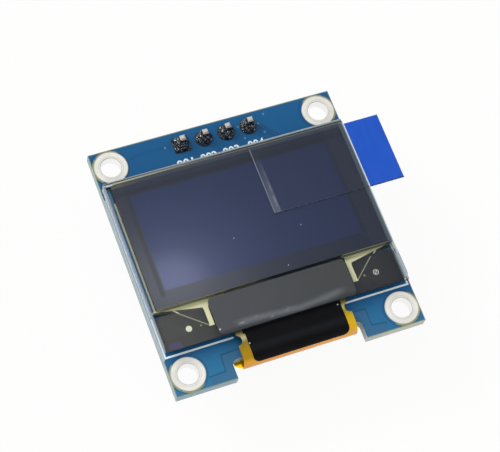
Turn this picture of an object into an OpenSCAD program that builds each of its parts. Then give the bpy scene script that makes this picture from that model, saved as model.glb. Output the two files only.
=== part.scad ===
// A 0.96 inch OLED display module: a thin glass panel taped onto a small circuit
// board, with its flex bent through a notch in the board's lower edge and soldered
// behind it. Millimetres. The display faces +Z and the pin header is towards +Y.
// The origin is the centre of the four mounting holes, on the board's rear face.

/* [Board] */
// Distance of the board's sides outside the panel's sides
board_side = 0.3; // [0.3:0.05:1.5]
// Height of the circuit board
board_h = 27.8; // [27.8:0.1:30]
// Thickness of the circuit board
board_t = 1.2; // [0.8:0.1:1.6]
// Width of the notch that the flex passes through
notch_w = 14.2; // [14:0.1:16]
// Depth of the notch, from the board's lower edge
notch_depth = 2; // [1.9:0.05:2.2]
// Radius of the notch's inner corners
notch_r = 0.55; // [0.3:0.05:0.8]
// Thickness of the plated copper, on the faces and in the holes
copper_t = 0.05; // [0.03:0.01:0.07]

/* [Mounting holes] */
// Distance of the hole centres from the board's sides
hole_side = 1.9; // [1.9:0.05:2.1]
// Distance of the hole centres from the board's upper and lower edges
hole_end = 2; // [1.95:0.05:2.2]
// Finished diameter of each mounting hole
hole_d = 2.2; // [2:0.1:2.4]
// Diameter of the plated pad round each mounting hole
hole_pad_d = 3.6; // [3.4:0.1:3.7]

/* [Printed frame] */
// Distance of the printed frame outside the panel's outline, at its sides
print_side = 0.12; // [0.1:0.01:0.13]
// Distance of the printed frame outside the panel's outline, above and below
print_end = 0.12; // [0.12:0.01:0.3]
// Width of the printed line
print_line = 0.2; // [0.15:0.05:0.3]
// Thickness of the printed ink
print_t = 0.02; // [0.02:0.01:0.04]
// Length of the gap in the lower line, where the flex crosses it
print_gap = 12.2; // [12:0.1:13]

/* [Header] */
// Distance between the header's pins
pin_pitch = 2.54; // [2.54:0.01:2.6]
// Distance of the row of pins from the board's upper edge
pin_edge = 1.58; // [1.5:0.01:1.6]
// Side of the square pins
pin_side = 0.64; // [0.5:0.02:0.66]
// Length of each pin in front of the board's rear face
pin_front = 3.1; // [2.8:0.1:3.4]
// Length of each pin behind the header strip
pin_rear = 6; // [3:0.5:12]
// Length of the chamfer on the pins' ends
pin_tip = 0.3; // [0.2:0.05:0.5]
// Depth of that chamfer
pin_chamfer = 0.16; // [0.08:0.02:0.2]
// Thickness of the header strip
strip_t = 2.5; // [2:0.1:3]
// Depth of the header strip
strip_d = 2.5; // [2.3:0.05:2.54]
// Chamfer on the corners of the strip's cells
strip_chamfer = 0.45; // [0.3:0.05:0.6]
// Finished diameter of each pin's hole
pin_hole_d = 1; // [0.96:0.02:1.1]
// Diameter of the round header pads
pin_pad_d = 1.9; // [1.7:0.05:2]
// Side of the square pad
square_pad = 1.8; // [1.6:0.05:1.9]
// Height of the solder above the board
solder_h = 1.05; // [0.6:0.05:1.3]
// Distance of the solder's foot from the pad's edge
solder_edge = 0.02; // [0.01:0.01:0.1]

/* [Panel] */
// Width of the glass
panel_w = 26.7; // [26.4:0.05:26.8]
// Height of the glass
panel_h = 19.26; // [18.9:0.02:19.3]
// Sideways offset of the panel from the board's middle
panel_x = -0.17; // [-0.2:0.01:0]
// Height of the bare ledge below the cap glass
ledge_h = 4.2; // [4:0.05:4.4]
// Thickness of the foam tape behind the cap glass
foam_t = 0.5; // [0.4:0.05:0.8]
// Distance that the foam tape keeps from the cap glass's edges
foam_inset = 1; // [0.5:0.1:3]
// Thickness of the cap glass
cap_t = 0.55; // [0.4:0.05:0.7]
// Thickness of the seal between the two glasses
seal_t = 0.05; // [0.04:0.01:0.08]
// Width of the seal
seal_w = 0.7; // [0.5:0.05:0.8]
// Distance of the seal from the glass's edge
seal_inset = 0.2; // [0.1:0.05:0.3]
// Thickness of the substrate glass
substrate_t = 0.55; // [0.4:0.05:0.7]
// Thickness of the polariser
polariser_t = 0.2; // [0.15:0.01:0.25]
// Distance of the polariser from the glass's sides
polariser_side = 0.6; // [0.5:0.05:0.8]
// Distance of the polariser from the glass's upper edge
polariser_top = 0.53; // [0.4:0.01:0.6]
// Distance from the polariser's lower edge to the glass's lower edge
polariser_low = 4.45; // [4.43:0.01:4.6]

/* [Display layers] */
// Distance of the light-emitting layers from the glass's sides
matrix_side = 1.55; // [1.4:0.05:2]
// Distance of the light-emitting layers from the cap glass's ends
matrix_end = 1.18; // [1.1:0.01:1.5]
// Sideways offset of the layers and their leads from the glass's middle
matrix_shift = 0.17; // [0:0.01:0.2]
// Thickness of the light-emitting layers and the metal leads
lead_t = 0.02; // [0.01:0.005:0.03]
// Width of the lead that runs up the display's left side
side_lead_w = 0.2; // [0.1:0.02:0.24]
// Distance of that lead's upper end from the glass's upper edge
side_lead_top = 2.2; // [1:0.1:4]
// Gap between the tape in front of the ledge and each lead's leg
leg_gap = 0.15; // [0.05:0.05:0.4]
// Width of each lead's leg
leg_w = 0.5; // [0.3:0.05:0.6]
// Length of each lead's leg
leg_h = 2.85; // [2.5:0.05:3.2]
// Distance from the glass's side to the tip of each lead's arm
arm_side = 0.6; // [0.4:0.05:1]
// Height of the arm where it meets the leg
arm_h = 0.95; // [0.6:0.05:1.1]
// Height of the arm at its tip
arm_tip_h = 0.2; // [0.1:0.02:0.3]
// Length of the left arm's run towards the middle
run_l = 2; // [1.5:0.1:3]
// Height of that run
run_h = 0.25; // [0.15:0.05:0.35]
// Radius of the hollow curve between the run and the leg
run_r = 0.8; // [0.5:0.05:1]
// Width of the thin line that braces the arm and the leg
brace_w = 0.12; // [0.08:0.01:0.16]
// Distance from the arm's tip to the upper end of that line
brace_x = 1.85; // [1.5:0.05:2.5]
// Diameter of the larger alignment dot
dot_d = 0.64; // [0.5:0.02:0.7]
// Diameter of the small alignment dots
small_dot_d = 0.2; // [0.14:0.02:0.26]
// Height of the alignment dots above the glass's lower edge
dot_y = 1.88; // [1.5:0.02:1.98]
// Distance of the larger alignment dot outside the leg
dot_x = 2.65; // [2.2:0.05:3]
// Distance of the small alignment dot outside the leg
small_dot_x = 1.36; // [1:0.02:1.6]

/* [Driver and shields] */
// Length of the driver chip
driver_l = 6.8; // [6:0.1:9]
// Width of the driver chip
driver_w = 0.9; // [0.8:0.05:1.4]
// Thickness of the driver chip
driver_t = 0.3; // [0.25:0.01:0.4]
// Thickness of the tape behind the ledge
rear_shield_t = 0.08; // [0.05:0.01:0.12]
// Thickness of the tape in front of the ledge
front_shield_t = 0.1; // [0.06:0.01:0.14]
// Distance of that tape from the glass's lower edge
front_shield_low = 0.02; // [0.01:0.01:0.2]
// Radius of the tapes' corners
shield_r = 0.5; // [0.2:0.05:0.8]
// Distance of the driver chip's middle above the ledge's middle
driver_rise = 0.55; // [0.3:0.05:0.8]
// Width of the tape in front of the ledge
front_shield_w = 15; // [14:0.1:15.1]

/* [Film and tab] */
// Distance of the protective film from the glass's sides
film_side = 0.02; // [0.01:0.01:0.2]
// Distance of the protective film from the glass's ends
film_end = 0.13; // [0.05:0.01:0.3]
// Thickness of the protective film
film_t = 0.08; // [0.05:0.01:0.12]
// Radius of the film's corners
film_r = 0.5; // [0.2:0.05:0.8]
// Width of the strip of clear tape, from its left end to the film's right edge
strip_on_film = 10.88; // [8:0.1:12]
// Height of the clear tape and the pull tab
tab_h = 7.7; // [6:0.1:8]
// Height of the tab's lower edge above the board's middle
tab_y = 1.15; // [0.5:0.05:1.4]
// Length of the pull tab past the film's edge
tab_l = 3.85; // [3:0.05:6]
// Thickness of the pull tab
tab_t = 0.1; // [0.05:0.01:0.12]
// Thickness of the clear tape
clear_tape_t = 0.06; // [0.04:0.01:0.08]

/* [Flex] */
// Thickness of the flex circuit
flex_t = 0.12; // [0.1:0.01:0.14]
// Width of the flex over the bend
flex_w = 12.4; // [11.9:0.05:12.6]
// Width of the flex where it is bonded to the glass
flex_bond_w = 12.1; // [11.8:0.05:12.2]
// Length of the flex that is bonded behind the glass
flex_bond_l = 1.2; // [1:0.05:1.4]
// Radius of the neck cut into each side of the flex
neck_r = 0.56; // [0.3:0.02:0.6]
// Width of the flex behind the board
flex_tail_w = 13.5; // [13:0.05:13.6]
// Sideways offset of the flex from the board's middle
flex_x = 0.05; // [0:0.01:0.1]
// Distance of the bend's axis from the notch's wall
bend_offset = 0.05; // [0:0.01:0.1]
// Distance from the notch's wall to the flex's soldered end
tail_l = 3.7; // [3:0.1:5]
// Width of the black cover layer on the bend
cover_w = 10.5; // [9:0.1:11]
// Thickness of the cover layer
cover_t = 0.05; // [0.03:0.01:0.07]
// Radius of the cover layer's corners
cover_r = 0.7; // [0.4:0.05:0.9]
// Angle above level at which the cover layer ends on the bend
cover_end = 28; // [10:1:45]
// Number of soldered joints on the flex
joint_count = 30; // [20:1:30]
// Distance between the soldered joints
joint_pitch = 0.42; // [0.4:0.01:0.43]
// Width of each soldered joint
joint_w = 0.22; // [0.16:0.01:0.26]
// Length of each joint on the flex
joint_on_flex = 1.3; // [0.8:0.1:1.6]
// Length of each joint on the board
joint_on_board = 0.8; // [0.5:0.1:1.2]
// Height of each joint above the flex
joint_h = 0.07; // [0.04:0.01:0.1]

/* [Rear parts] */
// Length of the capacitors and resistors
chip_l = 1.6; // [1.4:0.1:1.8]
// Width of the capacitors and resistors
chip_w = 0.8; // [0.7:0.05:0.9]
// Height of the capacitors
capacitor_h = 0.8; // [0.6:0.05:0.9]
// Height of the resistors
resistor_h = 0.45; // [0.35:0.05:0.55]
// Distance between neighbours in a row of chips
chip_pitch = 2.4; // [2:0.1:2.8]
// Distance of the row of capacitors above the flex's soldered end
capacitor_row = 4; // [3.5:0.1:4.4]
// Distance of the row of resistors above the row of capacitors
resistor_row = 4.4; // [4:0.1:5]
// Distance of the regulator and the diode above the row of resistors
regulator_row = 4.6; // [4.2:0.1:5]
// Length of the regulator's body
regulator_l = 2.9; // [2.7:0.1:3.1]
// Width of the regulator's body
regulator_w = 1.3; // [1.2:0.1:1.5]
// Height of the regulator's body
regulator_h = 1.1; // [0.9:0.05:1.2]
// Distance between the regulator's neighbouring legs
regulator_pitch = 0.95; // [0.9:0.01:1]
// Width of each leg
lead_foot_w = 0.4; // [0.3:0.02:0.5]
// Length of the diode's body
diode_l = 1.7; // [1.5:0.1:1.9]
// Width of the diode's body
diode_w = 1.25; // [1.1:0.05:1.4]
// Height of the diode's body
diode_h = 0.95; // [0.8:0.05:1.1]

/* [Clearances] */
// Gap between the flex behind the board and the board
flex_gap = 0.02; // [0.01:0.01:0.04]
// Gap between the glass and the cover layer on the flex
cover_gap = 0.03; // [0.02:0.01:0.1]
// Gap between the film's edge and the pull tab
tab_gap = 0.04; // [0.02:0.01:0.1]
// Gap between the seal and the metal leads below it
lead_gap = 0.01; // [0.01:0.01:0.05]
// Distance of the rear shield from the glass's edges
shield_inset = 0.15; // [0.1:0.01:0.3]
// Gap between the cap glass and the rear shield
shield_gap = 0.22; // [0.15:0.01:0.4]
// Height of the solder under the rear parts
land_t = 0.04; // [0.03:0.01:0.06]

/* [Hidden] */

$fn = 48;
eps = 0.01;

// Board
board_w = panel_w + 2 * board_side;
hole_dx = board_w - 2 * hole_side;
hole_dy = board_h - 2 * hole_end;
notch_y = -board_h / 2 + notch_depth;
pin_y = board_h / 2 - pin_edge;
pin_count = 4;
barrel_d = hole_d + 2 * copper_t;
pin_barrel_d = pin_hole_d + 2 * copper_t;

// Heights of the panel's layers, each on the one before
foam_z = board_t;
cap_z = foam_z + foam_t;
seal_z = cap_z + cap_t;
substrate_z = seal_z + seal_t;
polariser_z = substrate_z + substrate_t;
film_z = polariser_z + polariser_t;
tape_z = film_z + film_t;

// Printed frame
print_w = panel_w + 2 * print_side;
print_h = panel_h + 2 * print_end;

// Outline of the glass
glass_low = -panel_h / 2;
glass_top = panel_h / 2;
cap_h = panel_h - ledge_h;
cap_y = glass_low + ledge_h + cap_h / 2;
display_low = glass_low + polariser_low;
polariser_h = panel_h - polariser_top - polariser_low;
polariser_w = panel_w - 2 * polariser_side;
matrix_x = panel_x + matrix_shift;
matrix_w = panel_w - 2 * matrix_side;
matrix_h = cap_h - 2 * matrix_end;
leg_x = front_shield_w / 2 + leg_gap;
lead_top = glass_low + ledge_h + seal_inset - lead_gap;
film_w = panel_w - 2 * film_side;
film_h = panel_h - 2 * film_end;
film_right = panel_x + film_w / 2;

// Flex: the bend is half a tube, from the ledge's underside to the board's rear
bend_low = -flex_gap - flex_t;
bend_r = (substrate_z - bend_low) / 2;
bend_z = (substrate_z + bend_low) / 2;
bend_y = notch_y + bend_offset;
tail_y = notch_y + tail_l;
flex_top_y = glass_low + flex_bond_l;

// Rear parts
capacitor_y = tail_y + capacitor_row;
resistor_y = capacitor_y + resistor_row;
regulator_y = resistor_y + regulator_row;
regulator_x = -2.5 * chip_pitch;
diode_x = 2.5 * chip_pitch;

// A rectangle about the origin with round corners
module rounded_rect(w, h, r) {
    square([w - 2 * r, h], center = true);
    square([w, h - 2 * r], center = true);
    for (sx = [-1, 1], sy = [-1, 1])
        translate([sx * (w / 2 - r), sy * (h / 2 - r)]) circle(r);
}

// Calls its children at the four mounting holes, or at one of them
module at_hole(i) {
    sx = i % 2 == 1 ? -1 : 1;
    sy = i <= 2 ? 1 : -1;
    translate([sx * hole_dx / 2, sy * hole_dy / 2, 0]) children();
}

module at_pin(i) {
    translate([(i - (pin_count + 1) / 2) * pin_pitch, pin_y, 0]) children();
}

// Fibreglass board with a notch that lets the flex through
module circuit_board() {
    color("steelblue")
    linear_extrude(board_t)
    difference() {
        square([board_w, board_h], center = true);
        translate([0, -board_h / 2]) {
            translate([-notch_w / 2, -1]) square([notch_w, notch_depth - notch_r + 1]);
            translate([notch_r - notch_w / 2, -1])
                square([notch_w - 2 * notch_r, notch_depth + 1]);
            for (s = [-1, 1])
                translate([s * (notch_w / 2 - notch_r), notch_depth - notch_r]) circle(notch_r);
        }
        for (i = [1:4]) at_hole(i) circle(d = barrel_d);
        for (i = [1:pin_count]) at_pin(i) circle(d = pin_barrel_d);
    }
}

// White ink line round the panel's seat, open where the flex crosses it
module printed_frame() {
    color("white")
    translate([0, 0, board_t])
    linear_extrude(print_t)
    difference() {
        square([print_w, print_h], center = true);
        square([print_w - 2 * print_line, print_h - 2 * print_line], center = true);
        translate([flex_x, -print_h / 2]) square([print_gap, 4 * print_line], center = true);
    }
}

// Plated barrel of a mounting hole, with a pad on each face and a broken edge
module hole_plating(i) {
    bore = hole_d / 2;
    pad = hole_pad_d / 2;
    edge = copper_t;
    color("gainsboro")
    at_hole(i)
    rotate_extrude($fn = 72)
    polygon([
        [bore, 0], [bore + edge, -copper_t], [pad, -copper_t], [pad, 0],
        [barrel_d / 2, 0], [barrel_d / 2, board_t],
        [pad, board_t], [pad, board_t + copper_t], [bore + edge, board_t + copper_t],
        [bore, board_t]
    ]);
}

// Plated barrel of a pin's hole; the first pad is square
module header_pad(i) {
    color("silver")
    at_pin(i)
    difference() {
        union() {
            for (z = [-copper_t, board_t]) translate([0, 0, z]) linear_extrude(copper_t)
                if (i == 1) square(square_pad, center = true);
                else circle(d = pin_pad_d);
            cylinder(d = pin_barrel_d, h = board_t);
        }
        translate([0, 0, -1]) cylinder(d = pin_hole_d, h = board_t + 2);
    }
}

// Square pin with chamfered ends, through the strip and the board
module header_pin(i) {
    low = -copper_t - strip_t - pin_rear;
    half = pin_side / 2;
    flat = half - pin_chamfer;
    side = [
        [-half, low + pin_tip], [-flat, low], [flat, low], [half, low + pin_tip],
        [half, pin_front - pin_tip], [flat, pin_front], [-flat, pin_front],
        [-half, pin_front - pin_tip]
    ];
    color("gold")
    at_pin(i)
    intersection() {
        rotate([90, 0, 0]) linear_extrude(pin_side, center = true) polygon(side);
        rotate([90, 0, 90]) linear_extrude(pin_side, center = true) polygon(side);
    }
}

// Black strip that carries the pins, one chamfered cell for each
module header_strip() {
    c = strip_chamfer;
    a = pin_pitch / 2;
    b = strip_d / 2;
    color("dimgray")
    translate([0, 0, -copper_t - strip_t])
    linear_extrude(strip_t)
    for (i = [1:pin_count]) at_pin(i)
        difference() {
            polygon([
                [-a, c - b], [c - a, -b], [a - c, -b], [a, c - b],
                [a, b - c], [a - c, b], [c - a, b], [-a, b - c]
            ]);
            square(pin_side, center = true);
        }
}

// Solder hill that covers its pad, climbs the pin in a full curve and fills the barrel
module solder_joint(i) {
    base = (i == 1 ? square_pad : pin_pad_d) / 2 - solder_edge;
    neck = pin_side / sqrt(2) + solder_edge;
    z0 = board_t + copper_t;
    steps = 8;
    climb = [for (k = [0:steps]) let (a = 90 * k / steps)
        [neck + (base - neck) * (1 - sin(a) * k / steps), z0 + solder_h * (1 - cos(a))]];
    color("lightsteelblue")
    at_pin(i)
    difference() {
        union() {
            rotate_extrude() polygon(concat([[0, z0]], climb, [[0, z0 + solder_h]]));
            cylinder(d = pin_hole_d, h = z0 + eps);
        }
        translate([0, 0, board_t]) cube([pin_side, pin_side, 4 * board_t + 2], center = true);
    }
}

// Double-sided foam tape between the board and the cap glass
module foam_tape() {
    color("dimgray")
    translate([panel_x, cap_y, foam_z])
    linear_extrude(foam_t)
    square([panel_w - 2 * foam_inset, cap_h - 2 * foam_inset], center = true);
}

// Rear glass, which stops short of the ledge
module cap_glass() {
    color("lightblue", 0.5)
    translate([panel_x, cap_y, cap_z])
    linear_extrude(cap_t) square([panel_w, cap_h], center = true);
}

// Front glass, the full size of the panel
module substrate_glass() {
    color("lightcyan", 0.5)
    translate([panel_x, 0, substrate_z])
    linear_extrude(substrate_t) square([panel_w, panel_h], center = true);
}

// Frame of adhesive between the glasses, moulded round the metal lead
module edge_seal() {
    w = panel_w - 2 * seal_inset;
    h = cap_h - 2 * seal_inset;
    color("khaki")
    difference() {
        translate([panel_x, cap_y, seal_z])
        linear_extrude(seal_t)
        difference() {
            square([w, h], center = true);
            square([w - 2 * seal_w, h - 2 * seal_w], center = true);
        }
        side_lead_solid();
    }
}

// Thin light-emitting layers on the front glass's inner face
module pixel_matrix() {
    color("midnightblue")
    translate([matrix_x, cap_y, substrate_z - lead_t])
    linear_extrude(lead_t) square([matrix_w, matrix_h], center = true);
}

// Dark circular polariser over the display area
module polariser() {
    color("darkslategray")
    translate([panel_x, display_low + polariser_h / 2, polariser_z])
    linear_extrude(polariser_t) square([polariser_w, polariser_h], center = true);
}

module lead_plate() {
    translate([0, 0, substrate_z - lead_t]) linear_extrude(lead_t) children();
}

// Metal lead up the left side, just outside the polariser
module side_lead_solid() {
    outer = panel_x - polariser_w / 2 - side_lead_w + 0.05;
    low = glass_low + ledge_h + shield_gap;
    lead_plate() translate([outer, low]) square([side_lead_w, glass_top - side_lead_top - low]);
}

module side_lead() {
    color("palegoldenrod") side_lead_solid();
}

// Wedge-shaped arm with a leg, and a thin brace across their corner, drawn for the
// right side. A run goes on from the arm towards the middle, with a hollow curve
// down to the leg.
module lead_outline(run, glass_side) {
    top = lead_top;
    arm_x = glass_side - arm_side;
    outer = leg_x + leg_w;
    foot = top - leg_h;
    low = top - run_h;
    brace_end = arm_x - brace_x;
    slope = (arm_h - arm_tip_h) / (arm_x - outer);
    brace_top = top - arm_tip_h - slope * brace_x;
    fall = (brace_top - foot) / (brace_end - outer);
    lift = brace_w * sqrt(1 + fall * fall);
    back = lift / (fall - slope);
    hollow = [for (a = [0:15:90])
        [leg_x - run_r + run_r * cos(a), low - run_r + run_r * sin(a)]];
    difference() {
        polygon(concat(
            [[arm_x, top], [arm_x, top - arm_tip_h], [brace_end, brace_top], [outer, foot]],
            [[leg_x, foot]],
            run > 0 ? concat(hollow, [[leg_x - run, low], [leg_x - run, top]]) : [[leg_x, top]]
        ));
        polygon([
            [outer, top - arm_h], [outer, foot + lift],
            [brace_end - back, brace_top - slope * back]
        ]);
    }
}

module lead_right() {
    color("palegoldenrod")
    translate([matrix_x, 0, 0])
    lead_plate() lead_outline(0, panel_w / 2 + panel_x - matrix_x);
}

module lead_left() {
    color("palegoldenrod")
    translate([matrix_x, 0, 0])
    lead_plate() mirror([1, 0]) lead_outline(run_l, panel_w / 2 - panel_x + matrix_x);
}

// Round marks beside the leads
module alignment_dots() {
    color("palegoldenrod")
    translate([matrix_x, glass_low + dot_y, 0])
    lead_plate() {
        for (s = [-1, 1]) {
            translate([s * (leg_x + dot_x), 0]) circle(d = dot_d);
            translate([s * (leg_x + small_dot_x), 0]) circle(d = small_dot_d);
        }
        translate([leg_w / 2 - leg_x, -dot_y / 2]) circle(d = small_dot_d);
    }
}

// Driver chip bonded to the ledge's inner face
module driver_chip() {
    color("dimgray")
    translate([matrix_x, glass_low + ledge_h / 2 + driver_rise, substrate_z - driver_t])
    linear_extrude(driver_t) square([driver_l, driver_w], center = true);
}

// Black tape behind the ledge, which dips over the driver chip and the flex
module rear_shield_tape() {
    w = panel_w - 2 * shield_inset;
    h = ledge_h - shield_gap - shield_inset;
    side_z = substrate_z - lead_t;
    dip_z = substrate_z - driver_t;
    dip_in = flex_bond_w / 2 + 0.4;
    dip_out = dip_in + 0.5;
    t = rear_shield_t;
    color("black")
    intersection() {
        translate([panel_x, glass_low + shield_inset + h / 2, substrate_z - 1])
            linear_extrude(2) rounded_rect(w, h, shield_r);
        rotate([90, 0, 0]) linear_extrude(2 * panel_h, center = true)
        polygon([
            [-panel_w, side_z], [-dip_out, side_z], [-dip_in, dip_z], [dip_in, dip_z],
            [dip_out, side_z], [panel_w, side_z], [panel_w, side_z - t], [dip_out, side_z - t],
            [dip_in, dip_z - t], [-dip_in, dip_z - t], [-dip_out, side_z - t], [-panel_w, side_z - t]
        ]);
    }
}

// Grey tape on the front of the ledge, over the driver chip
module front_shield_tape() {
    h = lead_top - run_h - glass_low - front_shield_low;
    color("dimgray")
    translate([matrix_x - leg_gap, glass_low + front_shield_low + h / 2, polariser_z])
    linear_extrude(front_shield_t) rounded_rect(front_shield_w, h, shield_r);
}

// Clear film over the whole panel
module protective_film() {
    color("aliceblue", 0.3)
    translate([panel_x, 0, film_z])
    linear_extrude(film_t) rounded_rect(film_w, film_h, film_r);
}

// Strip of clear tape on the film, whose free end carries the pull tab
module clear_tape() {
    color("aliceblue", 0.3)
    translate([film_right - strip_on_film, tab_y, tape_z])
    cube([strip_on_film + tab_gap + tab_l, tab_h, clear_tape_t]);
}

// Blue plastic tab under the tape's free end
module pull_tab() {
    color("royalblue")
    translate([film_right + tab_gap, tab_y, tape_z - tab_t])
    cube([tab_l, tab_h, tab_t]);
}

// Side view of the first half of the bend: a level run and a quarter turn
module bend_start(r_out, t, start_y) {
    translate([bend_y, bend_z])
    difference() {
        circle(r_out, $fn = 96);
        circle(r_out - t, $fn = 96);
        translate([0, -2 * r_out]) square([2 * r_out, 4 * r_out]);
        translate([-2 * r_out, -2 * r_out]) square([4 * r_out, 2 * r_out]);
    }
    translate([bend_y - eps / 10, bend_z + r_out - t]) square([start_y - bend_y, t]);
}

// Side view of the whole bend: a level run, half a turn and a level tail
module bend_whole(r_out, t, start_y, end_y) {
    translate([bend_y, bend_z])
    difference() {
        circle(r_out, $fn = 96);
        circle(r_out - t, $fn = 96);
        translate([0, -2 * r_out]) square([2 * r_out, 4 * r_out]);
    }
    translate([bend_y - eps / 10, bend_z + r_out - t]) square([start_y - bend_y, t]);
    translate([bend_y - eps / 10, bend_z - r_out]) square([end_y - bend_y, t]);
}

// Flex circuit: bonded behind the ledge, necked, bent through the notch, soldered behind
module flex_circuit() {
    front_y = bend_y - 2 * bend_r;
    neck_y = glass_low - 0.8;
    ear_y = bend_y - 0.4;
    step = (flex_tail_w - flex_w) / 2;
    color("goldenrod")
    intersection() {
        translate([flex_x, 0, 0])
            rotate([90, 0, 90]) linear_extrude(flex_tail_w, center = true)
            bend_whole(bend_r, flex_t, flex_top_y, tail_y);
        union() {
            translate([flex_x, 0, bend_z])
            linear_extrude(2 * bend_r)
            difference() {
                union() {
                    translate([-flex_bond_w / 2, neck_y]) square([flex_bond_w, flex_top_y - neck_y]);
                    translate([-flex_w / 2, front_y]) square([flex_w, neck_y - front_y]);
                }
                for (s = [-1, 1]) translate([s * flex_w / 2, neck_y]) circle(neck_r);
            }
            translate([flex_x, 0, bend_z - 2 * bend_r])
            linear_extrude(2 * bend_r)
            polygon([
                [-flex_w / 2, front_y], [flex_w / 2, front_y], [flex_w / 2, ear_y - step],
                [flex_tail_w / 2, ear_y], [flex_tail_w / 2, tail_y], [-flex_tail_w / 2, tail_y],
                [-flex_tail_w / 2, ear_y], [-flex_w / 2, ear_y - step]
            ]);
        }
    }
}

// Glossy black layer on the outside of the bend, its lower corners round
module flex_cover() {
    r = bend_r + cover_t;
    start_y = glass_low - cover_gap;
    low_y = bend_y - r * cos(cover_end);
    low_z = bend_z + r * sin(cover_end);
    reach = 2 * (start_y - low_y);
    color("black")
    intersection() {
        translate([flex_x, 0, 0])
            rotate([90, 0, 90]) linear_extrude(2 * cover_w, center = true)
            bend_start(r, cover_t, start_y);
        translate([flex_x + 0.1, low_y, low_z])
            rotate([45, 0, 0])
            translate([0, reach / 2, 0])
            linear_extrude(4 * bend_r, center = true) rounded_rect(cover_w, reach, cover_r);
    }
}

// Row of soldered joints that run from the flex's end onto the board
module flex_solder() {
    flex_face = -flex_gap - flex_t;
    start = tail_y - joint_on_flex;
    end = tail_y + joint_on_board;
    top = flex_face - joint_h;
    color("silver")
    for (k = [0:joint_count - 1])
        translate([flex_x + (k - (joint_count - 1) / 2) * joint_pitch, 0, 0])
        rotate([90, 0, 90])
        linear_extrude(joint_w, center = true)
        polygon([
            [tail_y, flex_face], [start, flex_face], [start + 2 * joint_h, top],
            [tail_y + joint_h, top], [end, -land_t], [end, 0], [tail_y, 0]
        ]);
}

// Places a part on the board's rear face, its top turned away from the board
module on_rear(x, y) {
    translate([x, y, -land_t]) mirror([0, 0, 1]) children();
}

// Chip part: a body with slightly thicker metal ends
module chip(h) {
    cap_end = 0.3;
    skin = 0.02;
    linear_extrude(h) square([chip_w - 2 * skin, chip_l - 2 * skin], center = true);
    for (s = [-1, 1])
        translate([0, s * (chip_l - cap_end) / 2, 0])
        linear_extrude(h) square([chip_w, cap_end], center = true);
}

module capacitor(i) {
    color("tan")
    on_rear((i - 3.5) * chip_pitch, capacitor_y) chip(capacitor_h);
}

module resistor(i) {
    color("dimgray")
    on_rear((i - 3.5) * chip_pitch, resistor_y) chip(resistor_h);
}

// Moulded body with drafted sides, seen from its end and extruded along its length
module moulded_body(l, w, h, lift) {
    draft = 0.1;
    rotate([90, 0, 90])
    linear_extrude(l, center = true)
    polygon([
        [draft - w / 2, lift], [w / 2 - draft, lift], [w / 2, (lift + h) / 2],
        [w / 2 - draft, h], [draft - w / 2, h], [-w / 2, (lift + h) / 2]
    ]);
}

// One bent leg from the body's side down to its foot, towards +Y
module bent_leg(w, h, width) {
    reach = 0.55;
    t = 0.15;
    mid = h * 0.5;
    rotate([90, 0, 90])
    linear_extrude(width, center = true)
    polygon([
        [w / 2, mid + t / 2], [w / 2 + 0.25, mid + t / 2], [w / 2 + 0.3, t], [w / 2 + reach, t],
        [w / 2 + reach, 0], [w / 2 + 0.15, 0], [w / 2 + 0.1, mid - t / 2], [w / 2, mid - t / 2]
    ]);
}

module regulator_body() {
    color("black")
    on_rear(regulator_x, regulator_y)
    moulded_body(regulator_l, regulator_w, regulator_h, 0.05);
}

// The waist of the body, where the legs leave it, is level with their middle
module regulator_legs() {
    color("silver")
    on_rear(regulator_x, regulator_y) {
        for (s = [-1, 1])
            translate([s * regulator_pitch, 0, 0])
            mirror([0, 1, 0]) bent_leg(regulator_w, regulator_h + 0.05, lead_foot_w);
        bent_leg(regulator_w, regulator_h + 0.05, lead_foot_w);
    }
}

module diode() {
    color("black")
    on_rear(diode_x, regulator_y)
    rotate([0, 0, 90]) {
        moulded_body(diode_w, diode_l, diode_h, 0.05);
        for (s = [0, 1]) mirror([0, s, 0]) bent_leg(diode_l, diode_h + 0.05, lead_foot_w);
    }
}

// Solder land with a small fillet at its outer end, towards +Y
module land(width, start, foot) {
    fillet = 0.3;
    rise = 0.28;
    rotate([90, 0, 90])
    linear_extrude(width, center = true)
    polygon([
        [start, 0], [foot + fillet, 0], [foot + fillet, land_t / 2],
        [foot, land_t + rise], [foot, land_t], [start, land_t]
    ]);
}

module two_lands(width, start, foot) {
    for (s = [0, 1]) mirror([0, s, 0]) land(width, start, foot);
}

// Solder under and beside every part on the board's rear face
module chip_solder() {
    leg_reach = 0.55;
    color("silver")
    mirror([0, 0, 1]) {
        for (i = [1:6], y = [capacitor_y, resistor_y])
            translate([(i - 3.5) * chip_pitch, y, 0])
            two_lands(chip_w + 0.1, chip_l / 2 - 0.35, chip_l / 2);
        translate([diode_x, regulator_y, 0])
            rotate([0, 0, 90])
            two_lands(lead_foot_w + 0.2, diode_l / 2 + 0.1, diode_l / 2 + leg_reach);
        translate([regulator_x, regulator_y, 0]) {
            land(lead_foot_w + 0.2, regulator_w / 2 + 0.1, regulator_w / 2 + leg_reach);
            for (s = [-1, 1])
                translate([s * regulator_pitch, 0, 0])
                mirror([0, 1, 0])
                land(lead_foot_w + 0.2, regulator_w / 2 + 0.1, regulator_w / 2 + leg_reach);
        }
    }
}

circuit_board();
printed_frame();
header_strip();
for (i = [1:4]) {
    hole_plating(i);
    header_pad(i);
    header_pin(i);
    solder_joint(i);
}
foam_tape();
cap_glass();
edge_seal();
pixel_matrix();
substrate_glass();
polariser();
lead_left();
lead_right();
side_lead();
alignment_dots();
driver_chip();
rear_shield_tape();
front_shield_tape();
protective_film();
clear_tape();
pull_tab();
flex_circuit();
flex_cover();
flex_solder();
regulator_body();
regulator_legs();
diode();
for (i = [1:6]) {
    capacitor(i);
    resistor(i);
}
chip_solder();
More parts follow.
